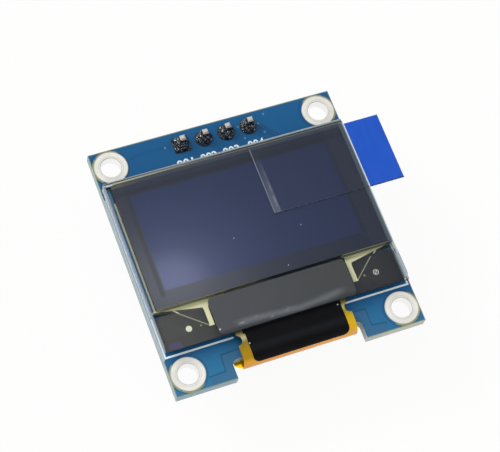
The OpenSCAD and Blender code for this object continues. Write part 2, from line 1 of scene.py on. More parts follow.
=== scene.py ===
# %% [markdown]
# # A small display module, dressed in Blender
# The solids of this module are finished: a circuit board, a stack of glass, tapes, a folded
# flexible circuit and the parts on the back. This lesson gives each of them the surface that
# the real one has, adds the few pieces that a maker of solids leaves out, and sets up a
# plain studio. The first cell loads the solids as a fixed frame that nothing may move.
# %% Load the frame
import math

import bpy
from mathutils import Matrix, Vector


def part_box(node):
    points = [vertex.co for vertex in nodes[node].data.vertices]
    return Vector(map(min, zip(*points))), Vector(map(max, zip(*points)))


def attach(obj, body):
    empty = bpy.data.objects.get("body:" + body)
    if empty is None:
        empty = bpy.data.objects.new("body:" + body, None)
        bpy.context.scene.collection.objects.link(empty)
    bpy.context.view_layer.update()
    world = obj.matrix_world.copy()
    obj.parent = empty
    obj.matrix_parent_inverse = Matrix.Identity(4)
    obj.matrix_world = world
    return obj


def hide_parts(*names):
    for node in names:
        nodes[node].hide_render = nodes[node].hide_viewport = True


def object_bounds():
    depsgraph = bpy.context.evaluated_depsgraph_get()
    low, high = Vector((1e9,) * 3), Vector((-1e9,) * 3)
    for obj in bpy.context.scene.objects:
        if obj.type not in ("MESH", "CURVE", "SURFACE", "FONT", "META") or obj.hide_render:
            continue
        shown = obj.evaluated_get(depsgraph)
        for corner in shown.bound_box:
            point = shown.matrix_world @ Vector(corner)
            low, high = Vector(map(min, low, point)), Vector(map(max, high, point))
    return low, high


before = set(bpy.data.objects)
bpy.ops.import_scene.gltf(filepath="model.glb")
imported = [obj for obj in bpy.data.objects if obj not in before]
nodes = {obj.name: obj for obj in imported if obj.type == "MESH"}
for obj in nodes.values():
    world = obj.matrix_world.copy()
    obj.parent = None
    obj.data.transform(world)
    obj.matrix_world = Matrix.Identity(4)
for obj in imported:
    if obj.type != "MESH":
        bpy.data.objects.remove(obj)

cad_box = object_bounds()
bpy.context.scene.view_settings.view_transform = "Standard"
print("solids in the frame:", len(nodes))

# %% [markdown]
# ## Measures
# Blender works in metres and a maker of circuit boards in millimetres. Many places below come
# from the corners of a solid, so two short helpers give them in millimetres.
# %% Millimetres and corners
MM = 0.001


def corners(name):
    """Lowest and highest corner of a solid, in millimetres."""
    low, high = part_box(name)
    return low / MM, high / MM


board_low, board_high = corners("circuit_board")
glass_low, glass_high = corners("substrate_glass")
screen_low, screen_high = corners("polariser")
print("board:", [round(v, 2) for v in board_high - board_low], "mm")

# %% [markdown]
# ## The camera
# The module is looked at from above its front left corner, with the camera turned a little
# about its own axis. A long lens keeps the edges nearly parallel. The camera's own axes are
# worked out from three angles and put into one matrix, which is steadier than three Euler
# angles when a camera is rolled.
# %% Camera
def studio_camera(azimuth, elevation, roll, distance, target, lens):
    a, e, r = (math.radians(v) for v in (azimuth, elevation, roll))
    back = Vector((math.sin(a) * math.cos(e), -math.cos(a) * math.cos(e), math.sin(e)))
    level = Vector((0, 0, 1)).cross(back).normalized()
    upright = back.cross(level)
    right = level * math.cos(r) + upright * math.sin(r)
    up = upright * math.cos(r) - level * math.sin(r)
    place = (Vector(target) + back * distance) * MM
    bpy.ops.object.camera_add()
    camera = bpy.context.object
    camera.name = "studio_camera"
    turn = Matrix((right, up, back)).transposed().to_4x4()
    camera.matrix_world = Matrix.Translation(place) @ turn
    camera.data.lens = lens
    camera.data.sensor_width = 36
    camera.data.clip_start = 0.01
    camera.data.clip_end = 10
    bpy.context.scene.camera = camera
    return camera


camera = studio_camera(azimuth=-37.9, elevation=64.64, roll=18.93, distance=182.4,
                       target=(-0.1, 1.38, board_high.z), lens=126.5)
print("camera at", [round(v / MM, 1) for v in camera.location], "mm")

# %% [markdown]
# ## The studio
# A pale floor carries the module, and a bright even sky lights it softly from all round. The
# floor shows as white to the camera, and to the metal and glass that mirror it, because part
# of its surface gives off light along those rays only. The rest is a plain matt surface, so
# the module still darkens the floor below itself.
# %% Floor
def colour(red, green, blue):
    """A colour from its three everyday 0 to 255 numbers, as the light values a shader needs."""
    def light(v):
        v = v / 255
        return v / 12.92 if v <= 0.04045 else ((v + 0.055) / 1.055) ** 2.4
    return (light(red), light(green), light(blue), 1)


def unlit_rays(tree):
    """1 for rays from the camera, and for those that a mirror or a glass sends on."""
    path = tree.nodes.new("ShaderNodeLightPath")
    most = path.outputs["Is Camera Ray"]
    for name in ("Is Glossy Ray", "Is Transmission Ray"):
        higher = tree.nodes.new("ShaderNodeMath")
        higher.operation = "MAXIMUM"
        tree.links.new(most, higher.inputs[0])
        tree.links.new(path.outputs[name], higher.inputs[1])
        most = higher.outputs[0]
    return most


def floor_paper(own_light):
    paper = bpy.data.materials.new("floor_paper")
    paper.use_nodes = True
    tree = paper.node_tree
    matt = tree.nodes["Principled BSDF"]
    matt.inputs["Base Color"].default_value = (0.86, 0.86, 0.855, 1)
    matt.inputs["Roughness"].default_value = 0.9
    glow = tree.nodes.new("ShaderNodeEmission")
    glow.inputs["Color"].default_value = (1, 1, 0.995, 1)
    share = tree.nodes.new("ShaderNodeMath")
    share.operation = "MULTIPLY"
    share.inputs[1].default_value = own_light
    tree.links.new(unlit_rays(tree), share.inputs[0])
    both = tree.nodes.new("ShaderNodeMixShader")
    tree.links.new(share.outputs[0], both.inputs[0])
    tree.links.new(matt.outputs[0], both.inputs[1])
    tree.links.new(glow.outputs[0], both.inputs[2])
    tree.links.new(both.outputs[0], tree.nodes["Material Output"].inputs[0])
    return paper


bpy.ops.object.select_all(action="DESELECT")
bpy.ops.mesh.primitive_plane_add(size=3, location=(0, 0, cad_box[0].z))
floor = bpy.context.object
floor.name = "floor"
floor.data.materials.append(floor_paper(own_light=0.93))
print("floor at", round(cad_box[0].z / MM, 2), "mm")

# %% [markdown]
# ## Sky and lamps
# The sky is dim all round, with one large soft window high on the left. Dark glass mirrors the
# dim part, so that it stays dark, and only its near left corner catches the window's border,
# which the display's colour also carries as a painted reflection.
# Three soft lamps carry the rest of the light: a wide one from the back left, a weak one from
# the right, and a low one in front that draws the bright lines on the tape and the pins.
# %% Sky
def make_sky(dim, window, border, bright):
    """A dim sky that grows bright from the window's border, a cosine, to its middle."""
    world = bpy.data.worlds.new("studio_sky")
    bpy.context.scene.world = world
    world.use_nodes = True
    tree = world.node_tree
    sky = tree.nodes["Background"]
    place = tree.nodes.new("ShaderNodeTexCoord")
    toward = tree.nodes.new("ShaderNodeVectorMath")
    toward.operation = "DOT_PRODUCT"
    tree.links.new(place.outputs["Generated"], toward.inputs[0])
    toward.inputs[1].default_value = Vector(window).normalized()
    level = tree.nodes.new("ShaderNodeMapRange")
    level.interpolation_type = "SMOOTHSTEP"
    for name, value in (("From Min", border), ("From Max", 1), ("To Min", dim), ("To Max", bright)):
        level.inputs[name].default_value = value
    tree.links.new(toward.outputs["Value"], level.inputs["Value"])
    path = tree.nodes.new("ShaderNodeLightPath")
    seen = tree.nodes.new("ShaderNodeMix")
    tree.links.new(path.outputs["Is Camera Ray"], seen.inputs[0])
    tree.links.new(level.outputs["Result"], seen.inputs[2])
    seen.inputs[3].default_value = 1
    tree.links.new(seen.outputs[0], sky.inputs["Strength"])
    sky.inputs["Color"].default_value = (0.97, 0.985, 1, 1)


make_sky(dim=0.27, window=(-0.45, 0.05, 0.89), border=0.66, bright=1.5)
print("sky made")


# %% Lamps
def soft_lamp(name, place, size, watts):
    """A square area lamp that looks at the module."""
    bpy.ops.object.light_add(type="AREA", location=Vector(place) * MM)
    lamp = bpy.context.object
    lamp.name = name
    lamp.data.size = size * MM
    lamp.data.energy = watts
    lamp.rotation_mode = "QUATERNION"
    lamp.rotation_quaternion = (-lamp.location).to_track_quat("-Z", "Y")
    return lamp


soft_lamp("lamp_back_left", (-330, 300, 380), size=260, watts=1.5)
soft_lamp("lamp_right", (420, -60, 260), size=240, watts=0.5)
soft_lamp("lamp_front", (-60, -420, 200), size=160, watts=0.4)

# %% [markdown]
# ## Shader maths in Python
# A finish such as solder mask over hidden tracks is a small sum: how far is this point from a
# track, is that less than half the track's width, and then which colour. Drawn by hand that is
# a wall of boxes, so one small class wraps a number in the material, and each Python operator
# on it adds the Math node that does the same.
# %% A number in a material
class Number:
    """A socket that carries one number, and the finish that it belongs to."""

    def __init__(self, finish, socket):
        self.finish = finish
        self.socket = socket

    def maths(self, operation, *values):
        made = self.finish.node("ShaderNodeMath", {"operation": operation},
                                dict(enumerate(values)))
        return Number(self.finish, made.outputs[0])

    def __add__(self, other):
        return self.maths("ADD", self, other)

    __radd__ = __add__

    def __sub__(self, other):
        return self.maths("SUBTRACT", self, other)

    def __rsub__(self, other):
        return self.maths("SUBTRACT", other, self)

    def __mul__(self, other):
        return self.maths("MULTIPLY", self, other)

    __rmul__ = __mul__

    def __truediv__(self, other):
        return self.maths("DIVIDE", self, other)

    def __pow__(self, other):
        return self.maths("POWER", self, other)

    def __abs__(self):
        return self.maths("ABSOLUTE", self)

    def __or__(self, other):
        return self.maths("MAXIMUM", self, other)

    def __and__(self, other):
        return self.maths("MINIMUM", self, other)

    __ror__ = __or__
    __rand__ = __and__

    def repeat(self, pitch):
        """Distance to the nearest whole number of pitches."""
        return self.maths("PINGPONG", self, pitch / 2)


# %% [markdown]
# ## A finish
# A finish is one material. It starts from Blender's Principled shader with plain values, and
# the methods below add what real surfaces have: places measured in millimetres, soft edged
# masks, noise, scratches, dust and relief. All patterns read the object's own coordinates, so
# they stay on the part however it is turned or looked at.
# %% A finish and its helpers
class Finish:
    """One material. Its wall is 0 on level faces and 1 on upright ones."""

    def __init__(self, name, **values):
        self.material = bpy.data.materials.new(name)
        self.material.use_nodes = True
        self.tree = self.material.node_tree
        self.shader = self.tree.nodes["Principled BSDF"]
        for socket, value in values.items():
            self.set(socket.replace("_", " "), value)
        place = self.node("ShaderNodeTexCoord").outputs["Object"]
        scaled = self.node("ShaderNodeVectorMath", {"operation": "SCALE"},
                           {0: place, "Scale": 1 / MM})
        self.place = scaled.outputs[0]
        split = self.node("ShaderNodeSeparateXYZ", {}, {0: self.place})
        self.x, self.y, self.z = (Number(self, s) for s in split.outputs)
        normal = self.node("ShaderNodeNewGeometry").outputs["Normal"]
        facing = self.node("ShaderNodeSeparateXYZ", {}, {0: normal})
        self.wall = 1 - abs(Number(self, facing.outputs[2]))

    def node(self, kind, settings=None, values=None):
        """Adds one node: its settings first, then the values or links of its sockets."""
        made = self.tree.nodes.new(kind)
        for name, value in (settings or {}).items():
            setattr(made, name, value)
        for name, value in (values or {}).items():
            self.join(made.inputs[name], value)
        return made

    def join(self, socket, value):
        if isinstance(value, Number):
            value = value.socket
        if isinstance(value, bpy.types.NodeSocket):
            self.tree.links.new(value, socket)
        else:
            socket.default_value = value

    def set(self, socket, value):
        self.join(self.shader.inputs[socket], value)

    def mix(self, mask, first, second):
        """The first colour where the mask is 0, and the second where it is 1."""
        made = self.node("ShaderNodeMix", {"data_type": "RGBA"}, {0: mask, 6: first, 7: second})
        return made.outputs[2]

    def ramp(self, value, reach, *stops, soft=False):
        """A row of colours over a value from 0 to reach, each stop a place and a colour."""
        places = [(place / reach, shade) for place, shade in stops]
        made = self.node("ShaderNodeValToRGB", {}, {0: value / reach})
        made.color_ramp.interpolation = "B_SPLINE" if soft else "LINEAR"
        self.colours(made.color_ramp.elements, places)
        return made.outputs[0]

    def colours(self, ramp, places):
        while len(ramp) < len(places):
            ramp.new(1)
        for stop, (place, shade) in zip(ramp, places):
            stop.position, stop.color = place, shade

    def rise(self, value, low, high):
        """Goes smoothly from 0 at low to 1 at high."""
        made = self.node("ShaderNodeMapRange", {"interpolation_type": "SMOOTHSTEP"},
                         {"Value": value, "From Min": low, "From Max": high})
        return Number(self, made.outputs["Result"])

    def band(self, value, low, high, soft=0.02):
        """1 between low and high, with edges as soft as given."""
        return self.rise(value, low - soft, low + soft) * (
            1 - self.rise(value, high - soft, high + soft))

    def patch(self, left, right, low, high, soft=0.03):
        """1 inside a rectangle."""
        return self.band(self.x, left, right, soft) * self.band(self.y, low, high, soft)

    def noise(self, size, detail=2.0, distortion=0.0, stretch=(1, 1, 1)):
        """Cloudy noise from 0 to 1 with features of about the given size in millimetres."""
        where = self.place
        if stretch != (1, 1, 1):
            where = self.node("ShaderNodeMapping", {}, {0: where, "Scale": stretch}).outputs[0]
        made = self.node("ShaderNodeTexNoise", {}, {
            "Vector": where, "Scale": 1 / size, "Detail": detail, "Distortion": distortion})
        return Number(self, made.outputs[0])

    def specks(self, spacing, size, share=1.0):
        """Small round specks, one in each cell of the given spacing, or in a share of them."""
        made = self.node("ShaderNodeTexVoronoi", {}, {
            "Vector": self.place, "Scale": 1 / spacing})
        near = Number(self, made.outputs["Distance"]) * spacing
        pick = Number(self, self.node("ShaderNodeSeparateColor", {},
                                      {0: made.outputs["Color"]}).outputs[0])
        dot = 1 - self.rise(near, size * 0.3, size * 0.6)
        return dot * (1 - self.rise(pick, share - 0.01, share + 0.01))

    def disc(self, cx, cy, radius, soft=0.02):
        """1 within the radius of a point."""
        away = ((self.x - cx) ** 2 + (self.y - cy) ** 2) ** 0.5
        return 1 - self.rise(away, radius - soft, radius + soft)

    def stroke(self, points, width, soft=0.03):
        """1 along a line of straight runs between the points."""
        drawn = None
        for (ax, ay), (bx, by) in zip(points, points[1:]):
            dx, dy = bx - ax, by - ay
            px, py = self.x - ax, self.y - ay
            along = ((px * dx + py * dy) / (dx * dx + dy * dy) | 0) & 1
            away = ((px - along * dx) ** 2 + (py - along * dy) ** 2) ** 0.5
            run = 1 - self.rise(away, width / 2 - soft, width / 2 + soft)
            drawn = run if drawn is None else drawn | run
        return drawn

    def relief(self, height, depth, strength=1.0):
        """Raises the surface by up to depth millimetres where height goes from 0 to 1."""
        made = self.node("ShaderNodeBump", {}, {
            "Height": height, "Distance": depth * MM, "Strength": strength})
        self.set("Normal", made.outputs[0])


def dress(finish, *names):
    """Gives solids of the frame a finish."""
    for name in names:
        piece = nodes[name]
        if not piece.material_slots:
            piece.data.materials.append(None)
        for place in piece.material_slots:
            place.material = finish.material
    print(finish.material.name, "on", ", ".join(names))


# %% [markdown]
# ## Circuit board
# A circuit board is glass cloth in resin, a copper pattern, and a thin coat of blue solder
# mask. The copper shows through the mask as a faint step in height and shade, and its gaps as
# darker lines. The mask stops just short of the board's edge and of the pads, which leaves
# slivers of bare, olive laminate there. The sawn edge shows the layers of pale cloth, and along
# the left side it catches the light as a pale line.
# %% Places on the board
hole_low, hole_high = corners("hole_plating_2")
hole_x, hole_y = (hole_low.x + hole_high.x) / 2, (hole_low.y + hole_high.y) / 2
pad_r = (hole_high.x - hole_low.x) / 2
bore_r = 1.1
GAP_WIDTH = 0.16
TRACK_PITCH = 0.42
CLOTH_PITCH = 0.55
VIAS = ((-5.57, 12.45), (5.88, 13.26), (4.95, 12.34), (5.3, 11.2), (3.0, 11.1), (2.74, 12.57))


def from_holes(finish):
    """Distance from the nearest mounting hole's axis, in millimetres."""
    return ((abs(finish.x) - hole_x) ** 2 + (abs(finish.y) - hole_y) ** 2) ** 0.5


def copper_gaps(mask):
    """An angled gap in the copper beside each end of the notch, and three buried tracks."""
    left = [(-5.9, -10.9), (-7.92, -11.0), (-8.03, -12.76), (-9.78, -12.86)]
    right = [(5.9, -10.7), (8.05, -10.9), (8.05, -12.72), (9.6, -12.9)]
    gaps = mask.stroke(left, GAP_WIDTH) | mask.stroke(right, GAP_WIDTH)
    for shift in (0, TRACK_PITCH):
        track = [(4.7 + shift, 12.3), (6.2 + shift, 10.5), (6.3 + shift, 9.5)]
        gaps = gaps | mask.stroke(track, 0.2)
    return gaps | mask.stroke([(-4.9, 12.5), (-8.6, 12.45), (-9.8, 12.1)], 0.3, 0.1) * 0.4


def copper_pours(mask):
    """The copper areas between those gaps and the notch, which show as a greyer blue."""
    pours = mask.patch(-8.0, -5.0, -13.8, -11.0) | mask.patch(-9.8, -7.9, -13.8, -12.85)
    return pours | mask.patch(5.0, 8.05, -13.8, -10.85) | mask.patch(8.0, 9.6, -13.8, -12.85)


def bare_laminate(mask, away):
    """A sliver round the outer side of each pad, and a thinner one along the board's edge."""
    outer = mask.rise(abs(mask.x), hole_x + 1.1, hole_x + 1.4)
    outer = outer | mask.rise(abs(mask.y), hole_y + 1.3, hole_y + 1.6)
    rim = mask.rise(abs(mask.x), board_high.x - 0.09, board_high.x - 0.05)
    rim = rim | mask.rise(abs(mask.y), board_high.y - 0.12, board_high.y - 0.07)
    return mask.band(away, pad_r, pad_r + 0.16, 0.02) * outer | rim * 0.7


def sawn_edge(mask):
    """Colour of the walls: layers of cloth, and a front wall that is warmer to the right."""
    layer = mask.band(mask.z.repeat(0.4), 0.06, 0.14, 0.04)
    layers = mask.mix(layer * mask.rise(mask.noise(0.7, 3), 0.3, 0.6),
                      colour(172, 186, 184), colour(132, 152, 158))
    front = 1 - mask.rise(mask.y, board_low.y + 0.1, board_low.y + 0.4)
    warmer = mask.mix(mask.rise(mask.x, -6, 12), colour(148, 172, 184), colour(206, 202, 184))
    return mask.mix(front * 0.8, layers, warmer)


print("mounting holes at +-", round(hole_x, 2), "and +-", round(hole_y, 2), "mm")

# %% Solder mask
mask = Finish("solder_mask", IOR=1.5, Specular_IOR_Level=0.3, Coat_Weight=0.08,
              Coat_Roughness=0.15)
away = from_holes(mask)
gaps = copper_gaps(mask)
moat = mask.band(away, pad_r + 0.05, pad_r + 0.3, 0.06)
cloudy = mask.noise(5, 3)
cloth = mask.x.repeat(CLOTH_PITCH) | mask.y.repeat(CLOTH_PITCH)
upright = mask.rise(mask.wall, 0.6, 0.8)
body = mask.mix(mask.rise(mask.y, -14, -8), colour(46, 120, 158), colour(16, 88, 136))
body = mask.mix(mask.rise(mask.x, -2, 13) * 0.4, body, colour(26, 90, 138))
body = mask.mix(cloudy * 0.35, body, colour(20, 92, 146))
body = mask.mix(copper_pours(mask) * 0.5, body, colour(62, 98, 128))
body = mask.mix((gaps | moat * 0.7) * 0.55, body, colour(14, 62, 106))
body = mask.mix(cloth * mask.patch(-6, 7, 10.5, 13.6, 0.8) * 0.25, body, colour(44, 104, 148))
for via in VIAS:
    body = mask.mix(mask.disc(*via, 0.13) * 0.5, body, colour(120, 160, 185))
body = mask.mix(bare_laminate(mask, away) * (0.6 + 0.4 * cloudy), body, colour(160, 160, 96))
lit = 1 - mask.rise(mask.x, board_low.x + 0.12, board_low.x + 0.16)
lit = lit * mask.band(mask.y, -9.9, 8.5, 0.1)
body = mask.mix(lit * 0.85, body, colour(206, 219, 225))
mask.set("Base Color", mask.mix(upright, body, sawn_edge(mask)))
mask.set("Roughness", 0.32 + 0.25 * upright + 0.08 * cloudy)
mask.relief(0.5 - 0.35 * (gaps | moat) + 0.06 * cloth, 0.05, 0.8)
dress(mask, "circuit_board")

# %% [markdown]
# ## Printed ink
# The white frame round the display and the marks at the pins are printed ink. It is a little
# blue where the mask shows through, and rough like chalk paint.
# %% Printed ink
ink = Finish("printed_ink", IOR=1.45)
ink.set("Base Color", ink.mix(ink.noise(0.35, 3), colour(228, 242, 248), colour(248, 252, 252)))
ink.set("Roughness", 0.55 + 0.2 * ink.noise(0.2))
ink.relief(ink.noise(0.12, 2), 0.01)
dress(ink, "printed_frame")

# %% [markdown]
# ## Tinned pads
# The rings round the holes are copper with a soft coat of tin. Handling leaves worn patches,
# faint rings and scratches. A dark line runs round the rim of the hole, and the bright barrel
# inside it mirrors the white floor. The header's pads have the same tin, and dark flux on
# their front.
# %% Tinned pads
def tinned(name, front_shade, rear_shade, bright_shade):
    tin = Finish(name, IOR=1.6)
    around = from_holes(tin)
    front = tin.rise(tin.z, 0.5, 0.7)
    rings = tin.node("ShaderNodeTexNoise", {"noise_dimensions": "1D"},
                     {"W": around, "Scale": 7.0, "Detail": 4.0})
    rings = Number(tin, rings.outputs[0])
    scratch = tin.noise(0.5, 4, 1.5, (1, 5, 1))
    worn = tin.rise(tin.noise(1.8, 2), 0.35, 0.65)
    shade = tin.mix(front, rear_shade, front_shade)
    shade = tin.mix(worn * 0.6 * front, shade, bright_shade)
    shade = tin.mix(rings * 0.35 + scratch * 0.3, shade, bright_shade)
    for low, high, soft, share, dark in (
            (bore_r + 0.16, bore_r + 0.24, 0.04, 0.25, colour(150, 150, 146)),
            (bore_r - 0.02, bore_r + 0.06, 0.02, 0.5, colour(120, 120, 118)),
            (pad_r - 0.07, pad_r + 0.1, 0.03, 0.4, colour(120, 112, 88))):
        shade = tin.mix(tin.band(around, low, high, soft) * share, shade, dark)
    outer_wall = tin.rise(around, bore_r + 0.3, bore_r + 0.4) * front
    barrel = tin.rise(tin.wall, 0.8, 0.95) * (1 - outer_wall)
    tin.set("Base Color", tin.mix(barrel, shade, colour(246, 246, 243)))
    tin.set("Metallic", 0.2 + 0.8 * barrel)
    tin.set("Roughness", 0.34 + 0.25 * scratch - 0.14 * barrel)
    tin.relief(rings * 0.6 + scratch * 0.4, 0.012)
    return tin


dress(tinned("tinned_pad", colour(222, 221, 213), colour(206, 205, 198), colour(252, 249, 238)),
      *[f"hole_plating_{i}" for i in (1, 2, 3, 4)])
dress(tinned("fluxed_pad", colour(24, 26, 30), colour(206, 205, 200), colour(60, 58, 56)),
      *[f"header_pad_{i}" for i in (1, 2, 3, 4)])

# %% [markdown]
# ## Pins and their black strip
# The pins are square brass wire with bright tin on it, drawn through a die, so fine lines run
# along them. In front of the board the flux has left them sooty, up to the tip, which is
# painted bright as a highlight where the light from above falls on it. The strip that holds
# them is moulded in black glass filled nylon: matt, with the fibres just showing as a grain.
# %% Pins and strip
wire = Finish("tinned_wire", Metallic=1.0, IOR=1.6)
drawn = wire.noise(0.08, 3, 0, (1, 1, 0.06))
pin_top = corners("header_pin_1")[1].z
# Painted highlight: the top of each pin is bright where the light from above falls on it.
lit_tip = wire.rise(wire.z, pin_top - 0.3, pin_top - 0.2)
in_front = wire.rise(wire.z, board_high.z, board_high.z + 0.1)
rubbed = wire.rise(wire.noise(0.3, 3), 0.5, 0.6)
clean = wire.mix(drawn, colour(176, 170, 158), colour(232, 226, 214))
sooty = wire.mix(rubbed, colour(36, 36, 40), colour(150, 146, 142))
shade = wire.mix(in_front, clean, sooty)
wire.set("Base Color", wire.mix(lit_tip, shade, colour(240, 230, 222)))
wire.set("Roughness", 0.22 + 0.25 * drawn + 0.15 * lit_tip)
wire.relief(drawn, 0.01)
dress(wire, *[f"header_pin_{i}" for i in (1, 2, 3, 4)])

nylon = Finish("black_nylon", IOR=1.5)
grain = nylon.noise(0.12, 3)
nylon.set("Base Color", nylon.mix(grain, colour(20, 20, 21), colour(40, 40, 41)))
nylon.set("Roughness", 0.5 + 0.25 * grain)
nylon.relief(grain, 0.02, 0.6)
dress(nylon, "header_strip")

# %% [markdown]
# ## Solder
# Each pin stands in a full hill of solder that covers its pad. Hand soldering leaves it lumpy,
# dark from flux and very shiny. Small white, matt spots are painted on it as glints, painted
# highlights of its lumps. It is modelled as a foot of the pad's own outline, round or square,
# that is extruded upwards and drawn in, ring by ring, then rounded and made uneven.
# %% Solder
solder = Finish("hand_solder", IOR=1.6, Coat_Weight=0.8, Coat_Roughness=0.05)
burnt = solder.noise(0.3, 4, 1.0)
shade = solder.mix(solder.rise(burnt, 0.42, 0.7), colour(30, 33, 40), colour(136, 136, 138))
# Painted glints: white, matt spots that stand in for highlights on the lumps.
painted_glints = solder.specks(0.3, 0.17, 0.5) * solder.rise(solder.noise(0.25, 2), 0.4, 0.55)
solder.set("Base Color", solder.mix(painted_glints, shade, colour(236, 238, 236)))
solder.set("Metallic", 1 - painted_glints)
solder.set("Roughness", 0.1 + 0.2 * burnt)
solder.relief(solder.noise(0.26, 3, 0.5), 0.24)
print("solder finish:", len(solder.tree.nodes), "nodes")

# %% Solder hills
FOOT_RISE = 0.1
RINGS = ((0.14, 0.95), (0.2, 0.88), (0.22, 0.82), (0.22, 0.78), (0.14, 0.8))
TOP_INSET = 0.06
LUMP_SIZE = 0.4
LUMP_HEIGHT = 0.3


def hill_shell(name, solid, pad, sides):
    """A closed shell on the pad: a low foot, then rings that each rise and draw in a little."""
    low, high = corners(solid)
    foot_z = corners(pad)[1].z
    centre = (low + high) / 2
    foot = (high.x - low.x) / 2 / math.cos(math.pi / sides)
    bpy.ops.object.select_all(action="DESELECT")
    bpy.ops.mesh.primitive_circle_add(vertices=sides, radius=foot * MM, fill_type="NGON",
                                      location=(centre.x * MM, centre.y * MM, foot_z * MM),
                                      rotation=(0, 0, math.pi / sides))
    hill = bpy.context.object
    hill.name = name
    bpy.ops.object.transform_apply(location=True, rotation=True, scale=True)
    bpy.ops.object.mode_set(mode="EDIT")
    bpy.ops.mesh.select_all(action="SELECT")
    bpy.ops.mesh.extrude_region_move(TRANSFORM_OT_translate={"value": (0, 0, FOOT_RISE * MM)})
    height = high.z - foot_z - FOOT_RISE
    pivot = (centre.x * MM, centre.y * MM, 0)
    for rise, narrow in RINGS:
        bpy.ops.mesh.extrude_region_move(
            TRANSFORM_OT_translate={"value": (0, 0, rise * height * MM)})
        bpy.ops.transform.resize(value=(narrow, narrow, 1), center_override=pivot)
    bpy.ops.mesh.inset(thickness=TOP_INSET * MM)
    bpy.ops.mesh.select_all(action="SELECT")
    bpy.ops.mesh.normals_make_consistent(inside=False)
    bpy.ops.object.mode_set(mode="OBJECT")
    return hill


def make_uneven(hill, seed):
    """Pushes the surface in and out by a cloud of lumps, read from another place for each."""
    lumps = bpy.data.textures.new(hill.name + "_lumps", "CLOUDS")
    lumps.noise_scale = LUMP_SIZE * MM
    uneven = hill.modifiers.new("uneven", "DISPLACE")
    uneven.texture = lumps
    uneven.texture_coords = "OBJECT"
    helper = bpy.data.objects.new(hill.name + "_seed", None)
    bpy.context.scene.collection.objects.link(helper)
    helper.location = (seed * 3 * MM, seed * 5 * MM, 0)
    uneven.texture_coords_object = helper
    uneven.strength = LUMP_HEIGHT * MM
    uneven.mid_level = 0.6
    bpy.ops.object.modifier_apply(modifier=uneven.name)
    bpy.data.objects.remove(helper)


def solder_hill(name, solid, pad, seed, sides):
    hill = hill_shell(name, solid, pad, sides)
    for kind in ("SIMPLE", "CATMULL_CLARK") if sides == 4 else ("CATMULL_CLARK",):
        smooth = hill.modifiers.new("smooth", "SUBSURF")
        smooth.subdivision_type = kind
        smooth.levels = smooth.render_levels = 2
        bpy.ops.object.modifier_apply(modifier=smooth.name)
    make_uneven(hill, seed)
    bpy.ops.object.shade_smooth()
    hill.data.materials.append(solder.material)
    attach(hill, "root")
    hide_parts(solid)
    return hill


hills = [solder_hill(f"solder_hill_{i}", f"solder_joint_{i}", f"header_pad_{i}", seed=i,
                     sides=4 if i == 1 else 24) for i in (1, 2, 3, 4)]
print("solder hills:", [len(h.data.polygons) for h in hills], "faces")

# %% [markdown]
# ## Pin numbers
# Printed marks name the pins on such boards. Plain numbers stand in for them here. Each is a
# text object made into a mesh, a fiftieth of a millimetre thick like the ink, at the foot of
# its pin where the display's edge covers its lower half.
# %% Pin numbers
def pin_numbers(size, foot, places):
    made = []
    for i, across in enumerate(places, 1):
        bpy.ops.object.select_all(action="DESELECT")
        bpy.ops.object.text_add()
        mark = bpy.context.object
        mark.data.body = f"00{i}"
        mark.data.align_x = "CENTER"
        mark.data.offset = 0.02
        mark.data.extrude = 0.01
        bpy.ops.object.convert(target="MESH")
        mark = bpy.context.object
        wide, tall = mark.dimensions.x, mark.dimensions.y
        mark.scale = (size[0] / wide * MM, size[1] / tall * MM, MM)
        mark.location = (across * MM, foot * MM, (board_high.z + 0.01) * MM)
        bpy.ops.object.transform_apply(location=True, rotation=True, scale=True)
        made.append(mark)
    bpy.ops.object.select_all(action="DESELECT")
    for mark in made:
        mark.select_set(True)
    bpy.context.view_layer.objects.active = made[0]
    bpy.ops.object.join()
    joined = bpy.context.object
    joined.name = "pin_numbers"
    joined.data.materials.clear()
    joined.data.materials.append(ink.material)
    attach(joined, "root")
    return joined


numbers = pin_numbers(size=(1.85, 0.95), foot=9.72, places=(-3.95, -1.4, 1.15, 3.95))
print("pin numbers:", len(numbers.data.polygons), "faces")

# %% [markdown]
# ## Glass
# The display is two sheets of thin glass. Where nothing dark lies behind it, at the narrow
# margins, it is clear and slightly grey, and its cut edges catch the light as pale and dark
# lines along the top, the left and the right. These lines are painted into a see-through finish
# whose alpha rises at the edges, which gives them without the noise of real refraction in thin
# layers.
# %% Edges of a sheet
def past_edges(finish, low, high):
    """How far a point lies past the sides and past the ends of a sheet, in millimetres."""
    middle = (low + high) / 2
    half = (high - low) / 2
    return abs(finish.x - middle.x) - half.x, finish.y - high.y, low.y - finish.y


def left_flank(glass, up, front_sheet):
    """Colour and cover of the left wall, whose foot is at 0 and whose top edge is at 1."""
    if front_sheet:
        shade = glass.ramp(up, 1, (0, colour(112, 132, 146)), (0.3, colour(74, 112, 146)),
                           (0.75, colour(60, 108, 152)), (0.85, colour(150, 170, 184)))
        return shade, 0.55 + 0.25 * glass.rise(up, 0.75, 0.9)
    shade = glass.ramp(up, 1, (0.1, colour(176, 188, 196)), (0.42, colour(150, 164, 174)),
                       (0.55, colour(104, 122, 136)), (0.95, colour(112, 132, 148)))
    return shade, 0.85


def top_lip(glass, inward):
    """Lines along the top edge of the front sheet, which grow finer and warmer to the left."""
    plain = glass.ramp(inward, 1, (0, colour(168, 176, 178)), (0.16, colour(176, 182, 180)),
                       (0.2, colour(48, 54, 58)), (0.34, colour(52, 58, 60)),
                       (0.38, colour(128, 134, 134)), (0.5, colour(116, 122, 122)))
    fine = glass.ramp(inward, 1, (0, colour(120, 126, 122)), (0.08, colour(150, 154, 146)),
                      (0.12, colour(48, 50, 48)), (0.2, colour(52, 54, 50)),
                      (0.24, colour(226, 224, 204)), (0.36, colour(214, 212, 190)),
                      (0.4, colour(58, 56, 44)))
    return glass.mix(1 - glass.rise(glass.x, -12, 0), plain, fine)


